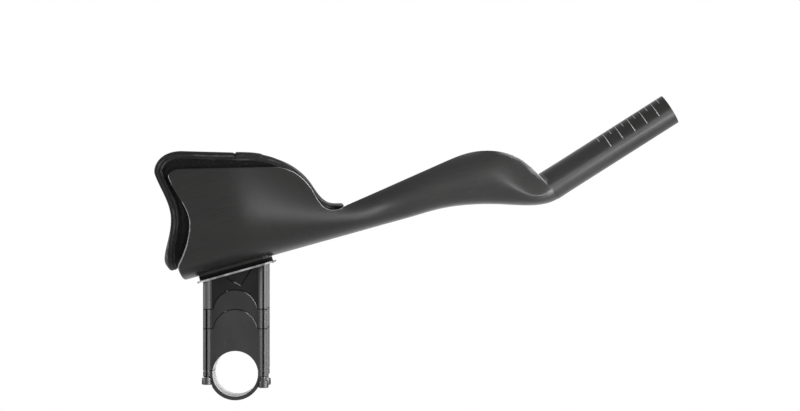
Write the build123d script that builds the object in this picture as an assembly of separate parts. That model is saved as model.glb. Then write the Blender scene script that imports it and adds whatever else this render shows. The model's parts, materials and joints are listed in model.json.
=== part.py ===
from build123d import *
import math
import os

# Aero handlebar extension: a moulded forearm cup, beam and hand tube on a stacked riser that clamps
# a handlebar. X points forward, Z up, and the origin is the handlebar's centre in its clamp.
# Sizes are in millimetres and degrees.

# Handlebar clamp and riser stack
bar_radius = 15.9
split_rise = 2.3
split_gap = 0.5
clamp_body_height = 29.3
spacer_height = 13.7
head_height = 25.2
seat_tilt = 15.6
web_half_depth = 15.0
web_half_width = 21.6
column_x = 19.8
column_y = 14.8
column_radius = 2.8
column_groove = 0.9
groove_depth = 0.45
nest_gap = 0.15
toe_radius = 1.2
seam_chamfer = 0.4
vee_width = 22.0
vee_height = 9.0
vee_depth = 1.0
vee_draft = 35.0
vee_offset = 1.0

# Clamp strap
strap_thickness = 2.7
ear_height = 4.6
ear_chamfer = 1.2

# Clamp bolts
clamp_bolt_radius = 2.0
clamp_bolt_head_radius = 3.5
clamp_bolt_head_height = 4.0
clamp_bolt_grip = 11.0
clamp_bolt_key = 3.0
front_bolt_slack = 2.2
washer_thickness = 0.8
head_clearance = 0.25
hole_clearance = 0.2
thread_clearance = 0.05
tap_run_out = 1.0
head_chamfer = 0.35
key_depth_share = 0.55

# Seat between riser and shell
plate_length = 56.0
plate_width = 42.0
plate_thickness = 1.3
plate_corner = 7.0
plate_shift = -1.0
gasket_margin = 2.2
gasket_thickness = 2.97
boss_drop = 1.2
boss_root = 4.0

# Seat bolts, through the cup floor into the riser head
seat_bolt_x = 14.0
seat_bolt_y = 11.0
seat_bolt_radius = 2.5
seat_bolt_head_radius = 4.4
seat_bolt_head_height = 3.0
seat_bolt_bite = 10.0
seat_bolt_key = 3.0

# Shell: forearm cup, beam and hump, lengths measured along the cup floor from the seat's middle
cup_half_width = 47.0
cup_middle = 48.0
cup_crown = 60.0
cup_wall = 3.0
floor_thickness = 8.4
cup_back = 60.0
cup_squareness = 3.0
taper_start = 5.0
taper_end = 125.0
blend_start = 20.0
blend_end = 105.0
beam_half_width = 17.5
beam_squareness = 2.6
beam_crown = 2.6
hump_crown = 10.0
hump_start = 147.0
keel = 0.7
hump_drop = 15.9
hump_end = 232.0
neck_lift = 1.0
edge_radius = 0.8

# Shell outline seen from the side
rear_foot = 37.4
rear_knee_height = 7.5
rear_heel = 34.9
rear_heel_height = 12.4
rear_waist = 19.9
rear_waist_height = 39.5
rear_shoulder = 26.0
rear_shoulder_height = 70.0
rear_lean = 98.0
rear_corner = 9.0
rim_height = 70.0
rim_slope = 14.2
rim_front = 44.0
rim_drop_at = 67.2
rim_drop_height = 34.0
rim_heel_at = 72.4
rim_heel_height = 21.3
valley_at = 79.0
valley_height = 18.3
ramp_start = 88.0
ramp_slope = 8.35
ramp_end = 164.0
crest_at = 188.0
crest_height = 30.8
fall_at = 213.8
fall_height = 17.0
fall_foot_at = 224.9
fall_foot_height = -1.4

# Trough in the cup
trough_rise_start = 40.0
trough_end = 90.0
trough_end_rise = 14.0

# Hand tube
tube_radius = 11.1
tube_bore_radius = 9.5
tube_bore_depth = 84.0
tube_start = 230.7
tube_start_height = -5.0
tube_rise = 16.84
tube_length = 98.0
tube_lap = 5.0
tube_socket = 0.3
tube_root = 16.0
tube_collar = 10.0
tube_heel = 1.4

# Forearm pad and its hook tape
pad_thickness = 8.0
pad_tip_thickness = 3.0
pad_clearance = 0.3
pad_thin_start = 45.0
pad_tip = 84.0
pad_foot = 47.2
pad_waist = 31.4
pad_waist_height = 46.0
pad_shoulder = 34.5
pad_shoulder_height = 75.0
pad_foot_lean = 80.0
pad_rear_lean = 95.0
pad_corner_at = 29.2
pad_corner_height = 84.0
pad_corner = 22.5
pad_rim_height = 81.7
pad_rim_slope = 17.2
pad_rim_front = 30.0
pad_drop_at = 63.6
pad_drop_height = 44.0
pad_heel_at = 71.6
pad_heel_height = 26.6
pad_tip_slope = -10.0
strip_width = 10.0
strip_length = 30.0
strip_spacing = 8.0
strip_thickness = 1.2
strip_glue = 0.15

# Values that follow from the sizes above
seam_low = split_rise + clamp_body_height
seam_high = seam_low + spacer_height
head_top = seam_high + head_height
stack = plate_thickness + gasket_thickness + boss_drop
tilt = math.radians(seat_tilt)
seat_origin = (0, 0, head_top + stack / math.cos(tilt))
seat = Plane(
    origin=seat_origin,
    x_dir=(math.cos(tilt), 0, math.sin(tilt)),
    z_dir=(-math.sin(tilt), 0, math.cos(tilt)),
).location
column_places = {
    "front_near": (column_x, -column_y),
    "front_far": (column_x, column_y),
    "rear_near": (-column_x, -column_y),
    "rear_far": (-column_x, column_y),
}
seat_bolt_places = {
    "front_near": (seat_bolt_x, -seat_bolt_y),
    "front_far": (seat_bolt_x, seat_bolt_y),
    "rear_near": (-seat_bolt_x, -seat_bolt_y),
    "rear_far": (-seat_bolt_x, seat_bolt_y),
}
y_reach = column_y + column_radius
tall = 400.0
section_points = 20
station_pitch = 15.0
beam_pitch = 20.0
tube_direction = math.radians(tube_rise)
tube_frame = Plane(
    origin=(tube_start, 0, tube_start_height),
    x_dir=(0, 1, 0),
    z_dir=(math.cos(tube_direction), 0, math.sin(tube_direction)),
)
nodes = {}


def prism(face, depth):
    """A face drawn in X and Z, as thick as depth and centred on the middle plane."""
    return extrude(Plane.XZ * face, amount=depth / 2, both=True)


def ease(value, start, end):
    """A smooth step from 0 at start to 1 at end."""
    t = min(max((value - start) / (end - start), 0.0), 1.0)
    return t * t * (3 - 2 * t)


# Riser stack


def riser_plan():
    """The blocks' outline from above: a plain web with a round bolt column at each corner."""
    plan = Rectangle(2 * web_half_width, 2 * web_half_depth)
    for x, y in column_places.values():
        plan += Pos(x, y) * Circle(column_radius)
    return plan


def saddle(level, radius):
    """What lies under a seam: flat under the columns, arched like the handlebar between them."""
    arch = Pos(0, level - split_rise) * Circle(radius)
    flat = Pos(0, level) * Rectangle(tall, tall, align=(Align.CENTER, Align.MAX))
    under = flat + arch
    corners = [v for v in under.vertices() if abs(v.Y - level) < toe_radius / 2 and abs(v.X) < tall / 4]
    return fillet(corners, toe_radius)


def bolt_holes(low, high, radius):
    """A round hole down each column."""
    hole = Cylinder(radius, high - low, align=(Align.CENTER, Align.CENTER, Align.MIN))
    holes = Part()
    for x, y in column_places.values():
        holes += Pos(x, y, low) * hole
    return holes


def column_grooves(low, high, names):
    """A thin upright groove on the outside of the named columns."""
    grooves = Part()
    for name in names:
        x, y = column_places[name]
        side = math.copysign(y_reach, y)
        grooves += Pos(x, side, low) * Box(
            column_groove, 2 * groove_depth, high - low, align=(Align.CENTER, Align.CENTER, Align.MIN)
        )
    return grooves


def seam_edges(block):
    """The arched edges on the two flat sides of a block."""
    edges = ShapeList()
    for face in block.faces().filter_by(Axis.Y):
        if abs(abs(face.center().Y) - web_half_depth) < nest_gap:
            edges += [e for e in face.edges() if e.geom_type == GeomType.CIRCLE]
    return edges


plan_column = extrude(riser_plan(), amount=tall, both=True)
clamp_hole = clamp_bolt_radius + hole_clearance
tapped_hole = clamp_bolt_radius + thread_clearance
bar = Rot(90, 0, 0) * Cylinder(bar_radius, tall)


def riser_block(low, low_radius, high, high_radius):
    """A block between two seams."""
    profile = saddle(high, high_radius) - saddle(low, low_radius)
    return prism(profile, tall) & plan_column


clamp_body = prism(saddle(seam_low, bar_radius - nest_gap) - (
    Pos(0, split_rise) * Rectangle(tall, tall, align=(Align.CENTER, Align.MAX))
), tall) & plan_column
clamp_body -= bar
clamp_body -= bolt_holes(0, seam_high, clamp_hole)
clamp_body -= column_grooves(0, seam_high, column_places)
clamp_body = chamfer(seam_edges(clamp_body), seam_chamfer)
nodes["clamp_body"] = clamp_body

riser_spacer = riser_block(seam_low, bar_radius, seam_high, bar_radius - nest_gap)
riser_spacer -= bolt_holes(0, seam_high + bar_radius, clamp_hole)
riser_spacer -= column_grooves(0, head_top, column_places)
riser_spacer = chamfer(seam_edges(riser_spacer), seam_chamfer)
nodes["riser_spacer"] = riser_spacer

head_roof = seat * Pos(0, 0, -stack) * Box(tall, tall, tall, align=(Align.CENTER, Align.CENTER, Align.MIN))
riser_head = (prism(Pos(0, seam_high) * Rectangle(tall, tall / 2, align=(Align.CENTER, Align.MIN)), tall)
              & plan_column) - head_roof
riser_head -= prism(saddle(seam_high, bar_radius), tall)
riser_head -= bolt_holes(0, seam_high + clamp_bolt_grip + tap_run_out, tapped_hole)
riser_head -= column_grooves(0, tall, ["front_near", "front_far"])
vee_top = -stack + vee_offset
vee = make_face(
    Polyline((-vee_width / 2, vee_top), (0, -stack - vee_height), (vee_width / 2, vee_top), close=True)
)
pocket = extrude(vee, amount=2 * vee_depth, taper=-vee_draft)
for side in (-1, 1):
    wall = Plane(
        origin=(0, side * (web_half_depth - vee_depth), seat_origin[2]),
        x_dir=(-side * math.cos(tilt), 0, -side * math.sin(tilt)),
        z_dir=(0, side, 0),
    )
    riser_head -= wall.location * pocket
riser_head = chamfer(seam_edges(riser_head), seam_chamfer)
for x, y in seat_bolt_places.values():
    riser_head -= seat * Pos(x, y, -stack) * Cylinder(
        seat_bolt_radius + thread_clearance, 2 * (seat_bolt_bite + tap_run_out)
    )
nodes["riser_head"] = riser_head

# Clamp strap: a band under the bar with an ear at each column
strap_top = split_rise - split_gap
ears = extrude(riser_plan(), amount=-ear_height)
ears = chamfer(ears.faces().sort_by(Axis.Z)[0].edges(), ear_chamfer)
band_radius = bar_radius + strap_thickness
band = prism(
    Circle(band_radius) + Rectangle(2 * band_radius, strap_top, align=(Align.CENTER, Align.MIN)),
    2 * web_half_depth,
)
band -= Pos(0, 0, strap_top) * Box(tall, tall, tall, align=(Align.CENTER, Align.CENTER, Align.MIN))
clamp_strap = Pos(0, 0, strap_top) * ears + band
clamp_strap -= prism(
    Circle(bar_radius) + Rectangle(2 * bar_radius, tall, align=(Align.CENTER, Align.MIN)), tall
)
clamp_strap -= bolt_holes(-tall, tall, clamp_hole)
clamp_strap -= bolt_holes(-tall, strap_top - ear_height, clamp_bolt_head_radius + head_clearance)
clamp_strap -= column_grooves(-tall, tall, column_places)
nodes["clamp_strap"] = clamp_strap


# Fasteners


def cap_screw(shank_radius, shank_length, head_radius, head_height, key):
    """A cap screw that hangs below its own origin, which is under its head, with the shank upwards."""
    screw = Cylinder(shank_radius, shank_length, align=(Align.CENTER, Align.CENTER, Align.MIN))
    head = Cylinder(head_radius, head_height, align=(Align.CENTER, Align.CENTER, Align.MAX))
    head = chamfer(head.edges().group_by(Axis.Z)[0], head_chamfer)
    socket = extrude(RegularPolygon(key / 2, 6, major_radius=False), amount=head_height * key_depth_share)
    return screw + head - Pos(0, 0, -head_height) * socket


def washer(outer_radius, hole_radius):
    ring = Circle(outer_radius) - Circle(hole_radius)
    return extrude(ring, amount=washer_thickness)


ear_bottom = strap_top - ear_height
for name, (x, y) in column_places.items():
    slack = front_bolt_slack if name.startswith("front") else 0.0
    under_head = ear_bottom - washer_thickness - slack
    grip = seam_high + clamp_bolt_grip - ear_bottom + washer_thickness
    screw = cap_screw(
        clamp_bolt_radius, grip, clamp_bolt_head_radius, clamp_bolt_head_height, clamp_bolt_key
    )
    nodes["clamp_bolt_" + name] = Pos(x, y, under_head) * screw
    nodes["clamp_washer_" + name] = Pos(x, y, under_head) * washer(clamp_bolt_head_radius, clamp_hole)

# Tilt plate and gasket
plate_outline = Pos(plate_shift, 0) * RectangleRounded(plate_length, plate_width, plate_corner)
gasket_outline = Pos(plate_shift, 0) * RectangleRounded(
    plate_length - 2 * gasket_margin, plate_width - 2 * gasket_margin, plate_corner - gasket_margin
)
seat_hole = seat_bolt_radius + hole_clearance
seat_holes = [Pos(x, y, 0) * Cylinder(seat_hole, 4 * stack) for x, y in seat_bolt_places.values()]
tilt_plate = Pos(0, 0, -stack) * extrude(plate_outline, amount=plate_thickness) - seat_holes
nodes["tilt_plate"] = seat * tilt_plate
seat_gasket = Pos(0, 0, plate_thickness - stack) * extrude(gasket_outline, amount=gasket_thickness)
seat_gasket -= seat_holes
nodes["seat_gasket"] = seat * seat_gasket

# Seat bolts, with their heads sunk in the cup floor
counterbore_depth = seat_bolt_head_height + washer_thickness
counterbore_radius = seat_bolt_head_radius + 2 * hole_clearance
shelf = floor_thickness - counterbore_depth
seat_bolt_length = shelf + washer_thickness + stack + seat_bolt_bite
for name, (x, y) in seat_bolt_places.items():
    screw = cap_screw(
        seat_bolt_radius, seat_bolt_length, seat_bolt_head_radius, seat_bolt_head_height, seat_bolt_key
    )
    nodes["seat_bolt_" + name] = seat * Pos(x, y, shelf + washer_thickness) * Rot(180, 0, 0) * screw
    nodes["seat_washer_" + name] = seat * Pos(x, y, shelf) * washer(seat_bolt_head_radius, seat_hole)


def sunk_holes():
    """The stepped holes that the seat bolts need in the cup floor."""
    hole = Cylinder(seat_hole, 2 * (shelf + stack))
    hole += Pos(0, 0, shelf) * Cylinder(
        counterbore_radius, 2 * counterbore_depth, align=(Align.CENTER, Align.CENTER, Align.MIN)
    )
    return [Pos(x, y, 0) * hole for x, y in seat_bolt_places.values()]


# Shell, in the seat's own frame: x along the cup floor, z square to it


def oval(plane, half_width, rise, drop, squareness):
    """A rounded section with its own height above and below its widest line."""
    points = []
    for k in range(section_points):
        turn = 2 * math.pi * k / section_points - math.pi / 2
        c = math.cos(turn)
        s = math.sin(turn)
        reach = rise if s > 0 else drop
        points.append((
            half_width * math.copysign(abs(c) ** (2 / squareness), c),
            reach * math.copysign(abs(s) ** (2 / squareness), s),
        ))
    knots = [k / section_points for k in range(section_points + 1)]
    return plane * Face(Wire(Edge.make_spline(points, periodic=True, parameters=knots)))


def upright(u, w):
    return Plane(origin=(u, 0, w), x_dir=(0, 1, 0), z_dir=(1, 0, 0))


def ramp(u):
    """Height of the beam's sloping top."""
    return valley_height + (u - valley_at) * math.tan(math.radians(ramp_slope))


def to_beam(u):
    """0 in the cup, 1 in the beam."""
    return ease(u, blend_start, blend_end)


def half_width(u):
    return cup_half_width + (beam_half_width - cup_half_width) * ease(u, taper_start, taper_end)


def bottom(u):
    return -keel - hump_drop * ease(u, hump_start, hump_end)


def crown(u):
    """Height of the shell's skin before its top is cut to the outline."""
    beam = min(ramp(u), crest_height) + beam_crown
    return beam + (cup_middle + cup_crown - beam) * (1 - to_beam(u))


def middle(u):
    """Height of the shell's widest line."""
    beam = (bottom(u) + min(ramp(u), crest_height) + beam_crown) / 2
    return beam + (cup_middle - beam) * (1 - to_beam(u))


def squareness(u):
    return cup_squareness + (beam_squareness - cup_squareness) * to_beam(u)


def skin_section(u):
    w = middle(u)
    return oval(upright(u, w), half_width(u), crown(u) - w, w - bottom(u), squareness(u))


def trough_floor(u):
    reach = max(u - trough_rise_start, 0) / (trough_end - trough_rise_start)
    return floor_thickness + trough_end_rise * reach * reach


def trough_section(u, inset):
    """The inside of the cup, drawn in by inset."""
    floor = trough_floor(u) + inset
    w = middle(u) + trough_floor(u) - floor_thickness + inset
    rise = crown(u) - w + cup_crown
    return oval(upright(u, w), half_width(u) - cup_wall - inset, rise, w - floor, cup_squareness)


cup_stations = [-cup_back + k * station_pitch for k in range(11)]
beam_stations = [cup_stations[-1] + k * beam_pitch for k in range(1, 6)]
skin = [skin_section(u) for u in cup_stations + beam_stations]
neck_at = (tube_start + beam_stations[-1]) / 2
neck = Plane(
    origin=(neck_at, 0, tube_start_height + neck_lift),
    x_dir=(0, 1, 0),
    z_dir=(math.cos(tube_direction / 2), 0, math.sin(tube_direction / 2)),
)
neck_half_width = (2 * beam_half_width + tube_radius) / 3
neck_drop = hump_drop + tube_start_height + neck_lift
skin.append(oval(neck, neck_half_width, crest_height + hump_crown, neck_drop, beam_squareness))
socket_radius = tube_radius + tube_socket
end_radius = tube_radius - tube_socket
skin.append(oval(tube_frame.offset(-tube_lap), socket_radius, crest_height, end_radius, 2))
skin.append(oval(tube_frame.offset(tube_lap), end_radius, crest_height, end_radius, 2))
hull = loft(skin)


def slope(degrees):
    return (math.cos(math.radians(degrees)), math.sin(math.radians(degrees)))


def rim(u):
    return rim_height - u * math.tan(math.radians(rim_slope))


def shell_outline():
    """The side view that the skin is cut to: rear edge, rim, valley, ramp, crest and falling edge."""
    low = -tall / 4
    top = tall / 4
    knee = (-rear_foot, rear_knee_height)
    shoulder = (-rear_shoulder, rear_shoulder_height)
    rim_start = (rear_corner - rear_shoulder, rim(rear_corner - rear_shoulder))
    rear = Spline(
        knee,
        (-rear_heel, rear_heel_height),
        (-rear_waist, rear_waist_height),
        shoulder,
        tangents=(slope(90), slope(rear_lean)),
    )
    corner = Spline(shoulder, rim_start, tangents=(slope(rear_lean), slope(-rim_slope)))
    rim_line = Line(rim_start, (rim_front, rim(rim_front)))
    drop = Spline(
        (rim_front, rim(rim_front)),
        (rim_drop_at, rim_drop_height),
        (rim_heel_at, rim_heel_height),
        (valley_at, valley_height),
        (ramp_start, ramp(ramp_start)),
        tangents=(slope(-rim_slope), slope(ramp_slope)),
    )
    ramp_line = Line((ramp_start, ramp(ramp_start)), (ramp_end, ramp(ramp_end)))
    crest = Spline(
        (ramp_end, ramp(ramp_end)),
        (crest_at, crest_height),
        (fall_at, fall_height),
        (fall_foot_at, fall_foot_height),
        (tube_start, tube_start_height),
        tangents=(slope(ramp_slope), slope(tube_rise)),
    )
    inside = tube_frame.offset(2 * tube_lap).origin
    rest = Polyline(
        (tube_start, tube_start_height), (inside.X, inside.Z), (inside.X, top),
        (tall, top), (tall, low), (-rear_foot, low), knee
    )
    return make_face([*rear.edges(), *corner.edges(), *rim_line.edges(), *drop.edges(),
                      *ramp_line.edges(), *crest.edges(), *rest.edges()])


shell = hull & prism(shell_outline(), tall)
rim_edges = ShapeList()
for face in shell.faces().filter_by(GeomType.BSPLINE):
    rim_edges += [e for e in face.edges() if e.center().Z > rear_knee_height and e.center().X < tube_start]
shell = fillet(rim_edges, edge_radius)
boss = Pos(0, 0, -boss_drop) * extrude(gasket_outline, amount=boss_drop + boss_root)
tube = tube_frame.offset(-tube_root).location * Cone(
    socket_radius, tube_radius, tube_root + tube_collar, align=(Align.CENTER, Align.CENTER, Align.MIN)
)
tube += tube_frame.offset(tube_collar).location * Cylinder(
    tube_radius, tube_length - tube_collar, align=(Align.CENTER, Align.CENTER, Align.MIN)
)
tube -= tube_frame.offset(-tube_lap / 2).location * Pos(0, -tube_heel, 0) * Box(
    tall, tall, tall, align=(Align.CENTER, Align.MAX, Align.MAX)
)
shell += [boss, tube]
trough = loft([trough_section(u, 0) for u in cup_stations])
bore = tube_frame.offset(tube_length).location * Cylinder(tube_bore_radius, 2 * tube_bore_depth)
shell -= [trough, bore, *sunk_holes()]
nodes["extension_shell"] = seat * shell


# Forearm pad


def pad_thick(u):
    return pad_thickness + (pad_tip_thickness - pad_thickness) * ease(u, pad_thin_start, pad_tip)


def pad_rim(u):
    return pad_rim_height - u * math.tan(math.radians(pad_rim_slope))


def pad_outline():
    """The pad's side view: foot, waist, rolled rear corner, rim and front tip."""
    foot = (-pad_foot, floor_thickness)
    shoulder = (-pad_shoulder, pad_shoulder_height)
    rim_start = (pad_corner - pad_shoulder, pad_rim(pad_corner - pad_shoulder))
    tip = (pad_tip, trough_floor(pad_tip) + pad_tip_thickness / 2)
    rear_ends = (slope(pad_foot_lean), slope(pad_rear_lean))
    rear = Spline(foot, (-pad_waist, pad_waist_height), shoulder, tangents=rear_ends)
    corner_ends = (slope(pad_rear_lean), slope(-pad_rim_slope))
    corner = Spline(shoulder, (-pad_corner_at, pad_corner_height), rim_start, tangents=corner_ends)
    rim_line = Line(rim_start, (pad_rim_front, pad_rim(pad_rim_front)))
    drop = Spline(
        (pad_rim_front, pad_rim(pad_rim_front)),
        (pad_drop_at, pad_drop_height),
        (pad_heel_at, pad_heel_height),
        tip,
        tangents=(slope(-pad_rim_slope), slope(pad_tip_slope)),
    )
    rest = Polyline(tip, (pad_tip, -tall / 4), (-pad_foot, -tall / 4), foot)
    return make_face([*rear.edges(), *corner.edges(), *rim_line.edges(), *drop.edges(), *rest.edges()])


pad = loft([trough_section(u, pad_clearance) for u in cup_stations])
pad = pad & prism(pad_outline(), tall)
pad -= loft([trough_section(u, pad_clearance + pad_thick(u)) for u in cup_stations])

strip_level = floor_thickness + strip_glue
for name, side in (("hook_strip_front", 1), ("hook_strip_rear", -1)):
    centre = side * (strip_length + strip_spacing) / 2
    strip = Pos(centre, 0, strip_level) * Box(
        strip_length, strip_width, strip_thickness, align=(Align.CENTER, Align.CENTER, Align.MIN)
    )
    nodes[name] = seat * strip
    pad -= Pos(centre, 0, 0) * Box(
        strip_length + 2 * pad_clearance,
        strip_width + 2 * pad_clearance,
        2 * (strip_level + strip_thickness + pad_clearance),
    )
nodes["forearm_pad"] = seat * pad

os.makedirs("parts", exist_ok=True)
for name, solid in nodes.items():
    export_step(solid, os.path.join("parts", name + ".step"))
    print(name, len(solid.solids()), round(solid.volume))
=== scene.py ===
import json
import math

import bmesh
import bpy
import numpy as np
from mathutils import Euler, Matrix, Vector


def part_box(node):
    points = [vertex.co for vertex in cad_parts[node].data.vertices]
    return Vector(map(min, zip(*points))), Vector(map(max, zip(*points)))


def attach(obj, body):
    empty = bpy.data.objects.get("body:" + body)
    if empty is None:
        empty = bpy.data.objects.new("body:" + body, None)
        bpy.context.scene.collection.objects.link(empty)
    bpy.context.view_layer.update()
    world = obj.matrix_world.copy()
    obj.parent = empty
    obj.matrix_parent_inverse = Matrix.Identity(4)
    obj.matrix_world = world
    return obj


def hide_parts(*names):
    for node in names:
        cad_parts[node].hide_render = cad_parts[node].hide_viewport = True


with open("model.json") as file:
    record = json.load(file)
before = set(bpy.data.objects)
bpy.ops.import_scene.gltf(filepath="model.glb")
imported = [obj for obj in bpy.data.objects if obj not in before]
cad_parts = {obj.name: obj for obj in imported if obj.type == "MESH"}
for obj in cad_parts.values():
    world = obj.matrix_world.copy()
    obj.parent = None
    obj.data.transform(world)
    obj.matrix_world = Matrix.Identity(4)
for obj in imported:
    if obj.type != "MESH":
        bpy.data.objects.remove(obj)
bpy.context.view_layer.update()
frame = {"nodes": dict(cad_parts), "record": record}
nodes = frame["nodes"]
mounts = {mount["name"]: mount for mount in frame["record"]["mounts"]}
print("frame loaded:", len(nodes), "CAD pieces")


# node trees, for shaders and for geometry

class Field:
    def __init__(self, graph, socket):
        self.graph = graph
        self.socket = socket

    def __add__(self, other):
        return self.graph.maths("ADD", self, other)

    def __sub__(self, other):
        return self.graph.maths("SUBTRACT", self, other)

    def __rsub__(self, other):
        return self.graph.maths("SUBTRACT", other, self)

    def __mul__(self, other):
        return self.graph.maths("MULTIPLY", self, other)

    __radd__ = __add__
    __rmul__ = __mul__


class Graph:
    def __init__(self, nodeTree):
        self.nodeTree = nodeTree

    # settings are set first, then the sockets, by name or by number
    def add(self, kind, settings=None, sockets=None, output=0):
        node = self.nodeTree.nodes.new(kind)
        for name, value in (settings or {}).items():
            setattr(node, name, value)
        for name, value in (sockets or {}).items():
            if isinstance(value, Field):
                self.nodeTree.links.new(value.socket, node.inputs[name])
            else:
                node.inputs[name].default_value = value
        return Field(self, node.outputs[output]) if len(node.outputs) else node

    def maths(self, operation, first, second=0.0):
        return self.add("ShaderNodeMath", {"operation": operation}, {0: first, 1: second})

    # rises smoothly from 0 at low to 1 at high
    def step(self, value, low, high):
        sockets = {"Value": value, "From Min": low, "From Max": high}
        return self.add("ShaderNodeMapRange", {"interpolation_type": "SMOOTHSTEP"}, sockets)

    # falls smoothly from 1 at low to 0 at high
    def within(self, value, low, high):
        return 1 - self.step(value, low, high)

    def blendColour(self, factor, first, second):
        return self.add("ShaderNodeMix", {"data_type": "RGBA"}, {0: factor, 6: first, 7: second}, 2)

    def blendGrey(self, factor, low, high):
        return self.blendColour(factor, grey(low), grey(high))

    # object or UV places, turned first and then divided by size, a number or one for each axis
    def places(self, source, size=1.0, turn=(0, 0, 0)):
        size = size if isinstance(size, tuple) else (size,) * 3
        coordinates = self.add("ShaderNodeTexCoord", output=source)
        sockets = {"Vector": coordinates, "Scale": size, "Rotation": turn}
        return self.add("ShaderNodeMapping", {"vector_type": "TEXTURE"}, sockets)

    # the three values of a place
    def axes(self, places):
        split = self.add("ShaderNodeSeparateXYZ", {}, {0: places}).socket.node
        return [Field(self, output) for output in split.outputs]

    # noise with lumps of this size
    def noise(self, size, detail, source="Object", turn=(0, 0, 0)):
        sockets = {"Vector": self.places(source, size, turn), "Scale": 1.0, "Detail": detail}
        return self.add("ShaderNodeTexNoise", {}, sockets)

    def bump(self, height, distance, strength):
        sockets = {"Height": height, "Distance": distance, "Strength": strength}
        return self.add("ShaderNodeBump", {}, sockets)

    # one instance on each point, turned where a rotation is given
    def onPoints(self, points, instance, turn=None):
        sockets = {"Points": points, "Instance": instance}
        if turn:
            sockets["Rotation"] = turn
        return self.add("GeometryNodeInstanceOnPoints", {}, sockets)


def emptyGraph(owner):
    owner.use_nodes = True
    owner.node_tree.nodes.clear()
    return Graph(owner.node_tree)


def grey(level, warmth=0.0):
    return (level * (1 + warmth), level, level * (1 - warmth), 1.0)


# level of the flat black that stands for painted shade in seam gaps and groove bottoms
paintedShadeLevel = 0.001


def newFinish(name, draw, **sizes):
    material = bpy.data.materials.new(name)
    graph = emptyGraph(material)
    inputs = draw(graph, **sizes)
    # painted shade: where the finish gives way to flat black, in seam gaps and groove bottoms
    paintedShade = inputs.pop("PaintedShade", None)  # where the finish gives way to a black gap
    shader = graph.add("ShaderNodeBsdfPrincipled", {}, inputs)
    if paintedShade:
        black = graph.add("ShaderNodeBsdfDiffuse", {}, {"Color": grey(paintedShadeLevel)})
        shader = graph.add("ShaderNodeMixShader", {}, {0: paintedShade, 1: shader, 2: black})
    graph.add("ShaderNodeOutputMaterial", {}, {"Surface": shader})
    return material


# finishes, with the sizes of their patterns in metres

seatSizes = {"height": 0.07618, "tilt": math.radians(15.6)}
seatTurn = (0, -seatSizes["tilt"], 0)

carbonSizes = {
    "dark": 0.0085,
    "pale": 0.0135,
    "strand": (0.022, 0.00035, 0.00035),  # length and thickness of a fibre strand
    "cloud": (0.060, 0.030, 0.030),
    "peel": 0.0011,
    "roughness": 0.34,
    # level of the painted highlight along the rim, the rear edge and the hump's falling edge
    "edge": 0.16,
    "lacquer": (0.05, 0.16, 0.28),  # clear lacquer from the beam onwards: start, full, weight
    "handled": (0.235, 0.285, 0.85),  # rubbed off the end of the tube: start, full, share
}


def drawCarbon(graph):
    strands = graph.noise(carbonSizes["strand"], 3.0, turn=seatTurn)
    cloud = graph.noise(carbonSizes["cloud"], 1.0, turn=seatTurn)
    peel = graph.noise(carbonSizes["peel"], 1.0)
    tone = graph.step(strands * 0.7 + cloud * 0.3, 0.36, 0.64)
    skin = graph.blendColour(tone, grey(carbonSizes["dark"], 0.02), grey(carbonSizes["pale"], 0.03))
    # the edge attribute marks where the painted highlight lies
    edge = graph.add("ShaderNodeAttribute", {"attribute_name": "edge"}, {}, "Fac")
    length = graph.axes(graph.places("Object"))[0]
    lacquerStart, lacquerFull, lacquer = carbonSizes["lacquer"]
    handledStart, handledFull, handled = carbonSizes["handled"]
    kept = 1 - graph.step(length, handledStart, handledFull) * handled
    return {
        # painted highlight: the base colour turns pale where the edge attribute is set
        "Base Color": graph.blendColour(edge, skin, grey(carbonSizes["edge"])),
        "Roughness": carbonSizes["roughness"] + (strands - 0.5) * 0.10 + (cloud - 0.5) * 0.05,
        "Specular IOR Level": 0.22,
        "Coat Weight": graph.step(length, lacquerStart, lacquerFull) * kept * lacquer,
        "Coat Roughness": 0.30,
        "Normal": graph.bump(peel * 0.6 + strands * 0.4, 0.00002, 0.5),
    }


knitSizes = {
    "pitch": 0.0021,
    "yarn": 0.00030,
    "fleck": 0.00075,
    "wear": 0.02,
    "level": 0.006,
    "hole": 0.001,
    "pale": 0.05,
}


def drawKnit(graph):
    length, girth = graph.axes(graph.places("UV", knitSizes["pitch"]))[:2]
    rows = graph.maths("SINE", length * (2 * math.pi))
    columns = graph.maths("SINE", girth * (2 * math.pi))
    hole = graph.step(rows * columns, 0.25, 0.75)
    fuzz = graph.noise(knitSizes["yarn"], 2.0, "UV")
    wear = graph.noise(knitSizes["wear"], 2.0)
    fleck = graph.step(graph.noise(knitSizes["fleck"], 1.0, "UV"), 0.66, 0.74)
    yarn = graph.blendGrey(fuzz, knitSizes["level"] * 0.4, knitSizes["level"] * 1.6)
    yarn = graph.blendColour(fleck, yarn, grey(knitSizes["pale"]))
    return {
        "Base Color": graph.blendColour(hole, yarn, grey(knitSizes["hole"])),
        "Roughness": 0.86 + (wear - 0.5) * 0.12,
        "Specular IOR Level": 0.08,
        "Sheen Weight": 0.06,
        "Sheen Roughness": 0.45,
        "Normal": graph.bump(fuzz * 0.35 - hole, 0.00035, 0.8),
    }


bindingSizes = {
    "rib": 0.00055,
    "ridge": 0.0024,
    "fuzz": (0.00022, 0.0006, 0.0006),
    "patch": (0.004, 0.0012, 0.0012),
    # pale patches: partly rubbed wear, partly painted sheen
    "rubAndSheen": (0.020, 0.004, 0.004),  # stretches that are rubbed pale
    "level": 0.008,
}


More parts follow.
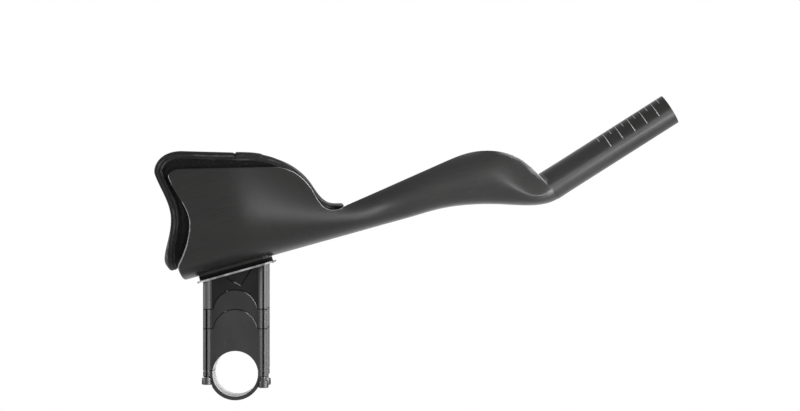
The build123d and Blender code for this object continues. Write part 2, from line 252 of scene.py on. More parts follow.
def drawBinding(graph):
    level = bindingSizes["level"]
    length, depth = graph.axes(graph.places("UV", bindingSizes["rib"]))[:2]
    rib = graph.maths("SINE", length * (2 * math.pi))
    deep = depth * (bindingSizes["rib"] / bindingSizes["ridge"])
    # painted shade in the grooves between the binding's ridges and painted highlight on the ridges
    ridge = graph.step(graph.maths("COSINE", deep * (2 * math.pi)), -0.7, 0.8)
    fuzz = graph.noise(bindingSizes["fuzz"], 2.0, "UV")
    patch = graph.noise(bindingSizes["patch"], 2.0, "UV")
    tone = graph.step(fuzz * 0.5 + patch * 0.5, 0.38, 0.68)
    # pale patches, partly rubbed wear and partly painted sheen
    rubAndSheen = graph.step(graph.noise(bindingSizes["rubAndSheen"], 2.0, "UV"), 0.48, 0.64)
    pale = graph.blendGrey(rubAndSheen, level * 1.2, level * 9.0)
    return {
        # base colour dark in the grooves and pale on the ridges: painted shade and painted highlight
        "Base Color": graph.blendColour(ridge * (tone * 0.8 + 0.2), grey(level * 0.3), pale),
        "Roughness": 0.56 + (fuzz - 0.5) * 0.3,
        "Specular IOR Level": 0.15,
        "Sheen Weight": 0.02,
        "Sheen Roughness": 0.35,
        "Normal": graph.bump(rib * 0.3 + fuzz * 0.5 + patch * 0.6, 0.00022, 0.7),
    }


threadSizes = {"twist": 0.0004, "levels": (0.012, 0.035)}


def drawThread(graph):
    twist = graph.noise(threadSizes["twist"], 1.0)
    return {
        "Base Color": graph.blendGrey(twist, *threadSizes["levels"]),
        "Roughness": 0.6 + (twist - 0.5) * 0.2,
        "Specular IOR Level": 0.4,
    }


# a pair is where a mask starts and ends, from the middle of the bar or from its own line
anodisedSizes = {
    "grain": 0.00016,
    "stain": (0.012, 0.012, 0.02),
    "speck": 0.0016,
    "speckLevel": 0.35,
    "roughness": 0.44,
    "line": (0.00022, 0.00036),
    "column": 0.0198,
    "columnSide": (0.0163, 0.0167),
    "groove": (0.00040, 0.00060),
    "grooveSide": (0.0166, 0.0169),
    "bore": (0.01592, 0.01602),
    "boreLevel": 0.50,
    "seams": (0.0316, 0.0453),
    "seamSide": (0.0165, 0.0169),
    "arch": 0.01555,
    "archDrop": 0.0023,
    "archRise": (0.002, 0.005),
    "archSide": (0.005, 0.009),
    "vee": (0.02049, 0.05890),
    "veeSquare": (0.673, 0.740),  # direction square to the rear arm
    "veeOffset": 0.00035,
    "veeFar": (-0.0045, -0.0037),
    "veeNear": (-0.0004, 0.0002),
    # level of the painted highlight on the arched chamfers and the vee's arm
    "wearAndHighlight": 0.26,
}
# the head's darker level is painted shade, for the shadow under the tilt plate; the column levels are
# painted highlights
blockSizes = {
    "body": {"level": 0.018, "shine": 0.36, "columns": (0.030, 0.048)},
    "spacer": {"level": 0.015, "shine": 0.31, "columns": (0.030, 0.055)},
    "head": {"level": 0.0075, "shine": 0.17, "columns": (0.055, 0.085), "isHead": True},
}


# painted shade at the bottom of the columns' upright grooves, on the front columns or on all
def grooveShade(graph, frontOnly):
    length, depth, height = graph.axes(graph.places("Object"))
    length = length if frontOnly else graph.maths("ABSOLUTE", length)
    away = graph.maths("ABSOLUTE", length - anodisedSizes["column"])
    outside = graph.step(graph.maths("ABSOLUTE", depth), *anodisedSizes["grooveSide"])
    return graph.within(away, *anodisedSizes["groove"]) * outside


# painted pale in the handlebar's bore, which lies along Y at the origin
def boreShade(graph):
    sockets = {0: graph.places("Object"), 1: (1, 0, 1)}
    spot = graph.add("ShaderNodeVectorMath", {"operation": "MULTIPLY"}, sockets)
    reach = graph.add("ShaderNodeVectorMath", {"operation": "LENGTH"}, {0: spot}, "Value")
    return graph.within(reach, *anodisedSizes["bore"])


# painted highlight on the front half of the arched seams' chamfers, and painted shade in the level seams
# of the columns
def seamShade(graph):
    length, depth, height = graph.axes(graph.places("Object"))
    outside = graph.step(graph.maths("ABSOLUTE", length), *anodisedSizes["seamSide"])
    front = graph.step(length, *anodisedSizes["archSide"])
    pale = dark = 0.0
    for level in anodisedSizes["seams"]:
        rise = height - (level - anodisedSizes["archDrop"])
        reach = graph.maths("SQRT", length * length + rise * rise)
        away = graph.maths("ABSOLUTE", reach - anodisedSizes["arch"])
        arch = graph.within(away, *anodisedSizes["line"]) * graph.step(rise, *anodisedSizes["archRise"])
        pale = graph.maths("MAXIMUM", pale, arch * front)
        gap = graph.maths("ABSOLUTE", height - level)
        dark = graph.maths("MAXIMUM", dark, graph.within(gap, *anodisedSizes["line"]) * outside)
    return pale, dark


# painted highlight on the rear arm of the vee in the head, near its point
def veeArmHighlight(graph):
    length, depth, height = graph.axes(graph.places("Object", turn=seatTurn))
    pointAt, pointHeight = anodisedSizes["vee"]
    squareAlong, squareUp = anodisedSizes["veeSquare"]
    length = length - pointAt
    away = length * squareAlong + (height - pointHeight) * squareUp + anodisedSizes["veeOffset"]
    arm = graph.step(length, *anodisedSizes["veeFar"]) * graph.within(length, *anodisedSizes["veeNear"])
    return graph.within(graph.maths("ABSOLUTE", away), *anodisedSizes["line"]) * arm


# painted highlights on the rear and front columns, paler at the front, the lit side
def columnHighlight(graph, body, columns):
    length = graph.axes(graph.places("Object"))[0]
    behind = graph.step(length * -1, *anodisedSizes["columnSide"])
    ahead = graph.step(length, *anodisedSizes["columnSide"])
    return graph.blendColour(ahead, graph.blendColour(behind, body, grey(columns[0])), grey(columns[1]))


def drawAnodised(graph, level, shine, columns, isHead=False):
    grain = graph.noise(anodisedSizes["grain"], 2.0)
    stain = graph.noise(anodisedSizes["stain"], 3.0)
    speck = graph.step(graph.noise(anodisedSizes["speck"], 1.0), 0.80, 0.84)
    tone = graph.step(grain * 0.5 + stain * 0.5, 0.35, 0.65)
    # body tone with painted column highlights, then pale specks of wear and the pale bore
    wearAndHighlight = columnHighlight(graph, graph.blendGrey(tone, level * 0.8, level * 1.2), columns)
    wearAndHighlight = graph.blendColour(speck * 0.5, wearAndHighlight, grey(anodisedSizes["speckLevel"]))
    wearAndHighlight = graph.blendColour(boreShade(graph), wearAndHighlight, grey(anodisedSizes["boreLevel"]))
    pale, dark = seamShade(graph)
    if isHead:
        pale = graph.maths("MAXIMUM", pale, veeArmHighlight(graph))
    return {
        "Base Color": graph.blendColour(pale, wearAndHighlight, grey(anodisedSizes["wearAndHighlight"])),
        # painted shade in the level seams and at the bottom of the columns' grooves
        "PaintedShade": graph.maths("MAXIMUM", dark, grooveShade(graph, isHead)),
        "Metallic": 0.3,
        "Specular IOR Level": shine,
        "Roughness": anodisedSizes["roughness"] + (stain - 0.5) * 0.12 + (grain - 0.5) * 0.08,
        "Normal": graph.bump(grain, 0.00003, 0.6),
    }


steelSizes = {"grain": 0.0003, "oil": 0.004, "levels": (0.03, 0.075)}


def drawSteel(graph):
    grain = graph.noise(steelSizes["grain"], 2.0)
    oil = graph.noise(steelSizes["oil"], 2.0)
    return {
        "Base Color": graph.blendGrey(oil, *steelSizes["levels"]),
        "Metallic": 0.85,
        "Roughness": 0.32 + (grain - 0.5) * 0.15,
        "Normal": graph.bump(grain, 0.00002, 0.4),
    }


alloySizes = {"grain": 0.00025, "stain": 0.008, "levels": (0.10, 0.34)}


def drawAlloy(graph):
    grain = graph.noise(alloySizes["grain"], 2.0)
    stain = graph.step(graph.noise(alloySizes["stain"], 3.0), 0.3, 0.7)
    return {
        "Base Color": graph.blendGrey(stain, *alloySizes["levels"]),
        "Metallic": 0.9,
        "Roughness": 0.42 + (grain - 0.5) * 0.2,
        "Normal": graph.bump(grain, 0.00003, 0.5),
    }


rubberSizes = {"grain": 0.0006, "levels": (0.003, 0.008)}


def drawRubber(graph):
    grain = graph.noise(rubberSizes["grain"], 3.0)
    return {
        "Base Color": graph.blendGrey(grain, *rubberSizes["levels"]),
        "Roughness": 0.84 + (grain - 0.5) * 0.2,
        "Specular IOR Level": 0.04,
        "Normal": graph.bump(grain, 0.00005, 0.5),
    }


hookSizes = {"pitch": 0.0009, "levels": (0.03, 0.008)}


def drawHookTape(graph):
    sockets = {"Vector": graph.places("Object", hookSizes["pitch"]), "Scale": 1.0}
    hooks = graph.add("ShaderNodeTexVoronoi", {}, sockets)
    return {
        "Base Color": graph.blendGrey(hooks, *hookSizes["levels"]),
        "Roughness": 0.7 + hooks * 0.2,
        "Normal": graph.bump(1 - hooks, 0.0004, 0.8),
    }


paintSizes = {"wear": 0.0012, "levels": (0.16, 0.38)}


def drawMarkPaint(graph):
    wear = graph.noise(paintSizes["wear"], 3.0)
    return {
        "Base Color": graph.blendGrey(graph.step(wear, 0.30, 0.55), *paintSizes["levels"]),
        "Roughness": 0.5 + (wear - 0.5) * 0.2,
    }


carbon = newFinish("satin_carbon", drawCarbon)
knit = newFinish("pad_knit", drawKnit)
bindingTape = newFinish("binding_tape", drawBinding)
thread = newFinish("pad_thread", drawThread)
anodised = newFinish("black_anodised_alloy", drawAnodised, **blockSizes["body"])
spacerAnodised = newFinish("black_anodised_spacer", drawAnodised, **blockSizes["spacer"])
shadedHeadAnodised = newFinish("black_anodised_head_shaded", drawAnodised, **blockSizes["head"])
steel = newFinish("black_bolt_steel", drawSteel)
alloy = newFinish("blasted_alloy", drawAlloy)
rubber = newFinish("seat_rubber", drawRubber)
hookTape = newFinish("woven_hook_tape", drawHookTape)
markPaint = newFinish("mark_paint", drawMarkPaint)

finishOf = {
    "extension_shell": carbon,
    "forearm_pad": knit,
    "hook_strip": hookTape,
    "seat_gasket": rubber,
    "tilt_plate": alloy,
    "riser_head": shadedHeadAnodised,
    "riser_spacer": spacerAnodised,
    "clamp_body": anodised,
    "clamp_strap": anodised,
    "clamp_bolt": steel,
    "clamp_washer": steel,
    "seat_bolt": steel,
    "seat_washer": steel,
}
for name, node in nodes.items():
    start = next(key for key in finishOf if name.startswith(key))
    node.data.materials.clear()
    node.data.materials.append(finishOf[start])
print("finishes on the CAD pieces")


# pieces and geometry trees

def newObject(name, data):
    made = bpy.data.objects.new(name, data)
    bpy.context.scene.collection.objects.link(made)
    return made


def newPiece(name, mesh, material):
    piece = newObject(name, mesh)
    mesh.materials.clear()
    mesh.materials.append(material)
    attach(piece, "root")
    return piece


def newTree(name, inputs):
    tree = bpy.data.node_groups.new(name, "GeometryNodeTree")
    tree.interface.new_socket("Geometry", in_out="INPUT", socket_type="NodeSocketGeometry")
    for label, kind in inputs.items():
        tree.interface.new_socket(label, in_out="INPUT", socket_type="NodeSocket" + kind)
    tree.interface.new_socket("Geometry", in_out="OUTPUT", socket_type="NodeSocketGeometry")
    graph = Graph(tree)
    entry = tree.nodes.new("NodeGroupInput")
    return graph, {socket.name: Field(graph, socket) for socket in entry.outputs if socket.name}


# gives every instance its own faces, and the material, before the tree ends
def closeTree(graph, geometry, material):
    real = graph.add("GeometryNodeRealizeInstances", {}, {0: geometry})
    painted = graph.add("GeometryNodeSetMaterial", {}, {"Geometry": real, "Material": material})
    flat = graph.add("GeometryNodeSetShadeSmooth", {}, {"Geometry": painted, "Shade Smooth": False})
    graph.add("NodeGroupOutput", {}, {0: flat})
    return graph.nodeTree


def treeMesh(tree, data, values):
    carrier = newObject("carrier", data)
    modifier = carrier.modifiers.new("tree", "NODES")
    modifier.node_group = tree
    for item in tree.interface.items_tree:
        if item.in_out == "INPUT" and item.name in values:
            modifier[item.identifier] = values[item.name]
    bpy.context.view_layer.update()
    evaluated = carrier.evaluated_get(bpy.context.evaluated_depsgraph_get())
    mesh = bpy.data.meshes.new_from_object(evaluated)
    carrier.modifiers.remove(modifier)
    bpy.data.objects.remove(carrier)
    return mesh


def numbersOf(items, key, width=1, kind=float):
    values = np.zeros(len(items) * width, kind)
    items.foreach_get(key, values)
    return values


# white length marks round the top of the hand tube

markSizes = {
    "pitch": 0.010,
    "longCount": 5,
    "shortCount": 6,
    "longSweep": math.radians(176),
    "shortSweep": math.radians(92),
    "width": 0.00045,
    "proud": 0.00004,
    "arcPoints": 49,
}


def markTree():
    graph, given = newTree("tube_marks", {
        "Pitch": "Float", "Radius": "Float", "Width": "Float",
        "Long count": "Int", "Short count": "Int", "Long sweep": "Float", "Short sweep": "Float",
    })
    stripe = graph.add("GeometryNodeCurvePrimitiveLine", {}, {
        "Start": graph.add("ShaderNodeCombineXYZ", {}, {"Y": given["Width"] * -0.5}),
        "End": graph.add("ShaderNodeCombineXYZ", {}, {"Y": given["Width"] * 0.5}),
    })
    rows = []
    for label, first in (("Long", 1.0), ("Short", 0.5)):  # place of the first mark, in pitches
        sweep = given[label + " sweep"]
        arc = graph.add("GeometryNodeCurveArc", {}, {
            "Resolution": markSizes["arcPoints"], "Radius": given["Radius"],
            "Start Angle": sweep * -0.5, "Sweep Angle": sweep,
        })
        strip = graph.add("GeometryNodeCurveToMesh", {}, {"Curve": arc, "Profile Curve": stripe})
        row = graph.add("GeometryNodeMeshLine", {}, {
            "Count": given[label + " count"],
            "Start Location": graph.add("ShaderNodeCombineXYZ", {}, {"Z": given["Pitch"] * first}),
            "Offset": graph.add("ShaderNodeCombineXYZ", {}, {"Z": given["Pitch"]}),
        })
        rows.append(graph.onPoints(row, strip))
    both = graph.add("GeometryNodeJoinGeometry", {}, {0: rows[0]})
    graph.nodeTree.links.new(rows[1].socket, both.socket.node.inputs[0])
    return closeTree(graph, both, markPaint)


def makeMarks():
    tube = mounts["shifter_tube"]
    axis = Vector(tube["axis"]).normalized()
    end = Vector(tube["pos_m"]) + axis * tube["dims"]["length_mm"] / 2000
    up = Vector((-axis.z, 0, axis.x))
    side = (-axis).cross(up)
    mesh = treeMesh(markTree(), bpy.data.meshes.new("marks"), {
        "Pitch": markSizes["pitch"],
        "Radius": tube["dims"]["r_mm"] / 1000 + markSizes["proud"],
        "Width": markSizes["width"],
        "Long count": markSizes["longCount"],
        "Short count": markSizes["shortCount"],
        "Long sweep": markSizes["longSweep"],
        "Short sweep": markSizes["shortSweep"],
    })
    place = Matrix((up, side, -axis)).transposed().to_4x4()
    place.translation = end
    mesh.transform(place)
    newPiece("tube_marks", mesh, markPaint)
    print("tube marks:", len(mesh.polygons), "faces")


makeMarks()


# knurled bolt heads, and the thread that the slack front bolts show

boltSizes = {
    "ridges": 30,
    "ridge": (0.00022, 0.00040, 0.0028),
    "headHeight": 0.004,
    "thread": 0.00022,
    "threadSides": 5,
    "turnPoints": 24,
    "pitch": 0.0007,
    "shank": 0.002,
    "washer": 0.0008,
    "slack": 0.0022,
}


def knurlTree():
    graph, given = newTree("knurls", {"Ridges": "Int", "Radius": "Float", "Ridge": "Vector"})
    sockets = {"Vertices": given["Ridges"], "Radius": given["Radius"]}
    ring = graph.add("GeometryNodeMeshCircle", {}, sockets)
    ridge = graph.add("GeometryNodeMeshCube", {}, {"Size": given["Ridge"]})
    place = graph.add("GeometryNodeInputPosition")
    outward = graph.add("FunctionNodeAlignRotationToVector", {"axis": "X"}, {"Vector": place})
    knurl = graph.onPoints(ring, ridge, outward)
    return closeTree(graph, graph.onPoints(given["Geometry"], knurl), steel)


def threadTree():
    graph, given = newTree("threads", {
        "Turns": "Float", "Radius": "Float", "Height": "Float", "Crest": "Float",
    })
    spiral = graph.add("GeometryNodeCurveSpiral", {}, {
        "Resolution": boltSizes["turnPoints"], "Rotations": given["Turns"],
        "Start Radius": given["Radius"], "End Radius": given["Radius"], "Height": given["Height"],
    })
    sockets = {"Resolution": boltSizes["threadSides"], "Radius": given["Crest"]}
    crest = graph.add("GeometryNodeCurvePrimitiveCircle", {}, sockets)
    sockets = {"Curve": spiral, "Profile Curve": crest, "Fill Caps": True}
    winding = graph.add("GeometryNodeCurveToMesh", {}, sockets)
    return closeTree(graph, graph.onPoints(given["Geometry"], winding), steel)


def pointMesh(points):
    mesh = bpy.data.meshes.new("places")
    mesh.from_pydata([tuple(point) for point in points], [], [])
    return mesh


def makeBoltDetail():
    heads = []
    shanks = []
    headHeight = boltSizes["headHeight"]
    for name in nodes:
        if name.startswith("clamp_bolt"):
            low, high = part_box(name)
            middle = (low + high) / 2
            radius = (high.x - low.x) / 2
            heads.append((middle.x, middle.y, low.z + headHeight / 2))
            if "front" in name:
                shanks.append((middle.x, middle.y, low.z + headHeight + boltSizes["washer"]))
    knurls = treeMesh(knurlTree(), pointMesh(heads), {
        "Ridges": boltSizes["ridges"], "Radius": radius, "Ridge": boltSizes["ridge"],
    })
    newPiece("clamp_bolt_knurls", knurls, steel)
    threads = treeMesh(threadTree(), pointMesh(shanks), {
        "Turns": boltSizes["slack"] / boltSizes["pitch"],
        "Radius": boltSizes["shank"],
        "Height": boltSizes["slack"],
        "Crest": boltSizes["thread"],
    })
    newPiece("clamp_bolt_threads", threads, steel)
    print("bolt detail:", len(knurls.polygons) + len(threads.polygons), "faces")


makeBoltDetail()


# forearm pad: a soft liner over the sections of the cup's trough, in the seat's frame, in millimetres

mm = 0.001
padSizes = {
    "cupHalf": 47.0,
    "beamHalf": 17.5,
    "taper": (5.0, 125.0),
    "blend": (20.0, 105.0),
    "cupMiddle": 48.0,
    "cupCrown": 60.0,
    "valley": (79.0, 18.3),
    "rampSlope": math.radians(8.35),
    "beamCrown": 2.6,
    "keel": 0.7,
    "floor": 8.4,
    "floorRise": (40.0, 90.0, 14.0),
    "wall": 3.0,
    "clearance": 0.3,
    "squareness": 3.0,
    "thickness": (8.0, 3.0),
    "thin": (45.0, 84.0),
    "foot": (-47.2, 8.4),
    "footLean": math.radians(80),
    "waist": (-31.4, 46.0),
    "shoulder": (-34.5, 75.0),
    "rearLean": math.radians(95),
    "corner": (-29.2, 84.0),
    "rim": (-12.0, 30.0, 81.7, math.radians(17.2)),
    "drop": (63.6, 44.0),
    "heel": (71.6, 26.6),
    "tip": (84.0, math.radians(-10)),
    "gridCorner": 0.45,  # where the rear corner splits into a rear and a top edge
    "gridFront": 71.0,
    "gridSize": (84, 62),
    "gridEase": 0.5,
    "nudge": 0.5,
    "slack": 0.86,  # share of the thickness that the cover is cut to before it is stuffed
    "seam": 6.8,
    "seamWidth": 0.8,
    "seamDepth": 0.34,
    "droop": (-38.0, -47.2, 2.0),  # behind the cup the pad hangs a little
}
lineCounts = {
    "quarter": 120,
    "rear": 120,
    "corner": 60,
    "rim": 40,
    "front": 160,
    "rearGirths": 160,
    "frontGirths": 60,
    "halvings": 30,
    "edge": 240,
}
clothSizes = {
    "frames": 20,
    "quality": 5,
    "mass": 0.1,
    "bending": 0.05,
    "pressure": 4.0,
    "grow": -0.012,
    "innerCap": 1.4,
    "outerCap": 0.45,
    "heldGirth": 60.0,  # the outer layer stays on the trough's floor this far round
    "fill": 0.85,
}
seatPlace = Matrix.Translation((0, 0, seatSizes["height"])) @ Matrix.Rotation(-seatSizes["tilt"], 4, "Y")


def ease(value, start, end):
    t = np.clip((value - start) / (end - start), 0, 1)
    return t * t * (3 - 2 * t)


# a smooth line through points, with the directions of its ends
def smoothLine(points, startTurn, endTurn, count):
    points = np.array(points)
    steps = np.diff(points, axis=0)
    gaps = np.linalg.norm(steps, axis=1)
    knots = np.concatenate([[0], np.cumsum(gaps)])
    system = np.eye(len(points))
    pulls = np.zeros(points.shape)
    pulls[0] = math.cos(startTurn), math.sin(startTurn)
    pulls[-1] = math.cos(endTurn), math.sin(endTurn)
    for k in range(1, len(points) - 1):
        system[k, k - 1:k + 2] = gaps[k], 2 * (gaps[k - 1] + gaps[k]), gaps[k - 1]
        pulls[k] = 3 * (gaps[k] * steps[k - 1] / gaps[k - 1] + gaps[k - 1] * steps[k] / gaps[k])
    slopes = np.linalg.solve(system, pulls)
    t = np.linspace(0, knots[-1], count)
    k = np.clip(np.searchsorted(knots, t, side="right") - 1, 0, len(gaps) - 1)
    span = gaps[k][:, None]
    t = (t - knots[k])[:, None] / span
    start = points[k] * (1 + 2 * t) * (1 - t) ** 2 + span * slopes[k] * t * (1 - t) ** 2
    return start + points[k + 1] * t * t * (3 - 2 * t) + span * slopes[k + 1] * t * t * (t - 1)


def padThickness(u):
    full, thin = padSizes["thickness"]
    return full + (thin - full) * ease(u, *padSizes["thin"])


def floorLift(u):
    start, end, rise = padSizes["floorRise"]
    return rise * (np.maximum(u - start, 0) / (end - start)) ** 2


# section of the pad's middle layer at u: half width, height of the widest line, reach below and above it
def layerShape(u):
    inset = padSizes["clearance"] + padThickness(u) / 2
    toBeam = ease(u, *padSizes["blend"])
    valleyAt, valleyHeight = padSizes["valley"]
    beamTop = valleyHeight + (u - valleyAt) * math.tan(padSizes["rampSlope"]) + padSizes["beamCrown"]
    beamMiddle = (beamTop - padSizes["keel"]) / 2
    crown = beamTop + (padSizes["cupMiddle"] + padSizes["cupCrown"] - beamTop) * (1 - toBeam)
    middle = beamMiddle + (padSizes["cupMiddle"] - beamMiddle) * (1 - toBeam)
    narrower = (padSizes["beamHalf"] - padSizes["cupHalf"]) * ease(u, *padSizes["taper"])
    half = padSizes["cupHalf"] + narrower - padSizes["wall"] - inset
    widest = middle + floorLift(u) + inset
    return half, widest, middle - padSizes["floor"], crown - widest + padSizes["cupCrown"]


quarter = np.linspace(0, math.pi / 2, lineCounts["quarter"])
sectionPower = 2 / padSizes["squareness"]
sectionOut = np.concatenate([np.sin(quarter) ** sectionPower, np.cos(quarter[1:]) ** sectionPower])
sectionUp = np.concatenate([-np.cos(quarter) ** sectionPower, np.sin(quarter[1:]) ** sectionPower])


# girth from the floor's middle line along the pad's middle layer, with the heights there
def girthTable(u):
    half, widest, drop, rise = layerShape(u)
    y = half * sectionOut
    w = widest + np.where(sectionUp < 0, drop, rise) * sectionUp
    return np.concatenate([[0], np.cumsum(np.hypot(np.diff(y), np.diff(w)))]), w


def girthAt(u, w):
    girths, heights = girthTable(u)
    return np.interp(w, heights, girths)


# points of the pad's middle layer, for lengths u and signed girths
def layerPoints(u, girth):
    points = np.zeros((len(u), 3))
    droopStart, droopEnd, droop = padSizes["droop"]
    for k in range(len(u)):
        girths, heights = girthTable(u[k])
        out = np.interp(abs(girth[k]), girths, sectionOut)
        w = np.interp(abs(girth[k]), girths, heights)
        half = layerShape(u[k])[0]
        hang = droop * max(0, (u[k] - droopStart) / (droopEnd - droopStart)) ** 2
        points[k] = (u[k], math.copysign(half * out, girth[k]), w - hang)
    return points


def unit(vectors):
    return vectors / np.linalg.norm(vectors, axis=1)[:, None]


# directions square to the middle layer, towards the arm
def layerNormals(u, girth):
    nudge = padSizes["nudge"]
    forward = layerPoints(u + nudge, girth) - layerPoints(u - nudge, girth)
    around = layerPoints(u, girth + nudge) - layerPoints(u, girth - nudge)
    return unit(np.cross(forward, around))


# from the seat's frame in millimetres to the shared frame in metres, and back
def toSeat(points):
    turned = np.array(seatPlace.to_3x3())
    return points @ turned.T * mm + np.array(seatPlace.translation)


def fromSeat(points):
    return (points - np.array(seatPlace.translation)) @ np.array(seatPlace.to_3x3()) * 1000


# length at which the front edge has this girth
def frontLength(girth, front, low, high):
    for turn in range(lineCounts["halvings"]):
        u = (low + high) / 2
        above = np.interp(u, front[:, 0], front[:, 1]) > np.interp(girth, *girthTable(u))
        low, high = (u, high) if above else (low, u)
    return low


# the pad's edge on one side, as lengths and girths: rear, top and front
def padEdges():
    rimStart, rimFront, rimHeight, rimSlope = padSizes["rim"]
    tipAt, tipTurn = padSizes["tip"]
    tipHeight = padSizes["floor"] + float(floorLift(tipAt)) + padSizes["thickness"][1] / 2
    rimEnds = [(u, rimHeight - u * math.tan(rimSlope)) for u in (rimStart, rimFront)]
    rearLean = padSizes["rearLean"]
    rear = [padSizes["foot"], padSizes["waist"], padSizes["shoulder"]]
    rear = smoothLine(rear, padSizes["footLean"], rearLean, lineCounts["rear"])
    corner = [padSizes["shoulder"], padSizes["corner"], rimEnds[0]]
    corner = smoothLine(corner, rearLean, -rimSlope, lineCounts["corner"] + 1)
    front = [rimEnds[1], padSizes["drop"], padSizes["heel"], (tipAt, tipHeight)]
    front = smoothLine(front, -rimSlope, tipTurn, lineCounts["front"])
    split = round(padSizes["gridCorner"] * lineCounts["corner"])

    rear = np.concatenate([rear, corner[1:split + 1]])
    rearGirths = np.linspace(0, girthAt(*rear[-1]), lineCounts["rearGirths"])
    rearHeights = np.interp(rearGirths, *girthTable(rear[-1, 0]))
    rearLengths = np.interp(rearHeights, rear[:, 1], rear[:, 0])
    rimLine = np.linspace(rimEnds[0], rimEnds[1], lineCounts["rim"])
    dropLine = front[1:][front[1:, 0] < padSizes["gridFront"]]
    top = np.concatenate([corner[split:], rimLine[1:], dropLine])
    topGirths = np.array([girthAt(u, w) for u, w in top])
    frontGirths = np.linspace(0, topGirths[-1], lineCounts["frontGirths"])
    frontStart = top[-1, 0] - padSizes["nudge"]
    frontLengths = [frontLength(girth, front, frontStart, tipAt) for girth in frontGirths]
    return (
        np.column_stack([rearLengths, rearGirths]),
        np.column_stack([top[:, 0], topGirths]),
        np.column_stack([frontLengths, frontGirths]),
    )


def walkedAlong(line):
    return np.concatenate([[0], np.cumsum(np.hypot(*np.diff(line, axis=0).T))])


def along(line, shares):
    walked = walkedAlong(line)
    return np.column_stack([np.interp(shares * walked[-1], walked, line[:, k]) for k in (0, 1)])


# a grid of lengths and girths over one side of the pad, closer at its edges
def padGrid(edges):
    rear, top, front = edges
    lengthCount, girthCount = padSizes["gridSize"]
    closer = padSizes["gridEase"]
    p = np.linspace(0, 1, lengthCount + 1)
    p = (1 - closer) * p + closer * (1 - np.cos(math.pi * p)) / 2
    h = np.linspace(0, 1, girthCount + 1)
    h = (1 - closer) * h + closer * np.sin(math.pi / 2 * h)
    low = np.column_stack([rear[0, 0] + (front[0, 0] - rear[0, 0]) * p, np.zeros(len(p))])[:, None]
    high = along(top, p)[:, None]
    left = along(rear, h)[None]
    right = along(front, h)[None]
    p = p[:, None, None]
    h = h[None, :, None]
    ruled = (1 - h) * low + h * high + (1 - p) * left + p * right
    corners = (1 - p) * (1 - h) * left[:, :1] + (1 - p) * h * left[:, -1:]
    corners = corners + p * (1 - h) * right[:, :1] + p * h * right[:, -1:]
    return ruled - corners


def edgeDistance(places, edges):
    shares = np.linspace(0, 1, lineCounts["edge"])
    line = np.concatenate([along(edge, shares) for edge in edges])
    gaps = places[:, None] - line[None]
    return np.sqrt((gaps ** 2).sum(2).min(1))


# half thickness of the unstuffed cover at a distance from the edge
def coverHalf(u, distance):
    half = padThickness(u) / 2
    roundness = np.sqrt(1 - (1 - np.clip(distance / half, 0, 1)) ** 2)
    dip = np.exp(-((distance - padSizes["seam"]) / padSizes["seamWidth"]) ** 2)
    return half * roundness * (1 - padSizes["seamDepth"] * dip) * padSizes["slack"]


# the cover as two layers that share the vertices of the edge, with what the stuffing holds and its limits
def makeCover(edges):
    grid = padGrid(edges)
    whole = np.concatenate([grid[:, :0:-1] * (1, -1), grid], axis=1)
    rows, columns = whole.shape[:2]
    flat = whole.reshape(-1, 2)
    u, girth = flat.T
    distance = edgeDistance(np.column_stack([u, np.abs(girth)]), edges)
    half = coverHalf(u, distance)
    rim = np.zeros((rows, columns), bool)
    rim[0] = rim[-1] = True
    rim[:, 0] = rim[:, -1] = True
    rim = rim.ravel()
    half[rim] = 0
    middle = layerPoints(u, girth)
    normals = layerNormals(u, girth) * half[:, None]
    inner = toSeat(middle + normals)
    outer = toSeat(middle - normals)
    outerIndex = np.arange(rows * columns)
    outerIndex[~rim] = rows * columns + np.arange((~rim).sum())
    vertices = np.concatenate([inner, outer[~rim]])
    faces = []
    places = []
    for i in range(rows - 1):
        for j in range(columns - 1):
            first = i * columns + j
            ring = [first, first + columns, first + columns + 1, first + 1]
            faces.append(ring)
            faces.append([outerIndex[k] for k in reversed(ring)])
            places.extend(ring + ring[::-1])
    mesh = bpy.data.meshes.new("forearm_pad_cover")
    mesh.from_pydata(vertices.tolist(), [], faces)
    layer = mesh.uv_layers.new(name="UVMap")
    layer.data.foreach_set("uv", (flat[places] * mm).ravel())
    sewn = np.abs(distance - padSizes["seam"]) < padSizes["seamWidth"]
    resting = np.abs(girth) < clothSizes["heldGirth"]
    held = np.concatenate([sewn | rim, (sewn | resting)[~rim]])
    caps = np.full(len(vertices), clothSizes["outerCap"])
    caps[:rows * columns] = clothSizes["innerCap"]
    return mesh, held, caps * mm


def stuff(piece, held, caps):
    scene = bpy.context.scene
    group = piece.vertex_groups.new(name="sewn")
    group.add([int(k) for k in np.flatnonzero(held)], 1.0, "REPLACE")
    modifier = piece.modifiers.new("stuffing", "CLOTH")
    settings = modifier.settings
    settings.quality = clothSizes["quality"]
    settings.mass = clothSizes["mass"]
    settings.bending_stiffness = clothSizes["bending"]
    settings.use_pressure = True
    settings.uniform_pressure_force = clothSizes["pressure"]
    settings.shrink_min = clothSizes["grow"]
    settings.vertex_group_mass = "sewn"
    settings.effector_weights.gravity = 0
    for number in range(1, clothSizes["frames"] + 1):
        scene.frame_set(number)
    evaluated = piece.evaluated_get(bpy.context.evaluated_depsgraph_get())
    before = numbersOf(piece.data.vertices, "co", 3)
    after = numbersOf(evaluated.data.vertices, "co", 3)
    move = (after - before).reshape(-1, 3)
    length = np.linalg.norm(move, axis=1)
    print("stuffing moved the cover by up to", round(1000 * float(length.max()), 2), "mm")
    move *= np.minimum(1, caps / np.maximum(length, 1e-9))[:, None]
    piece.modifiers.remove(modifier)
    piece.vertex_groups.clear()
    piece.data.vertices.foreach_set("co", before + move.ravel())
    piece.data.update()
    scene.frame_set(1)


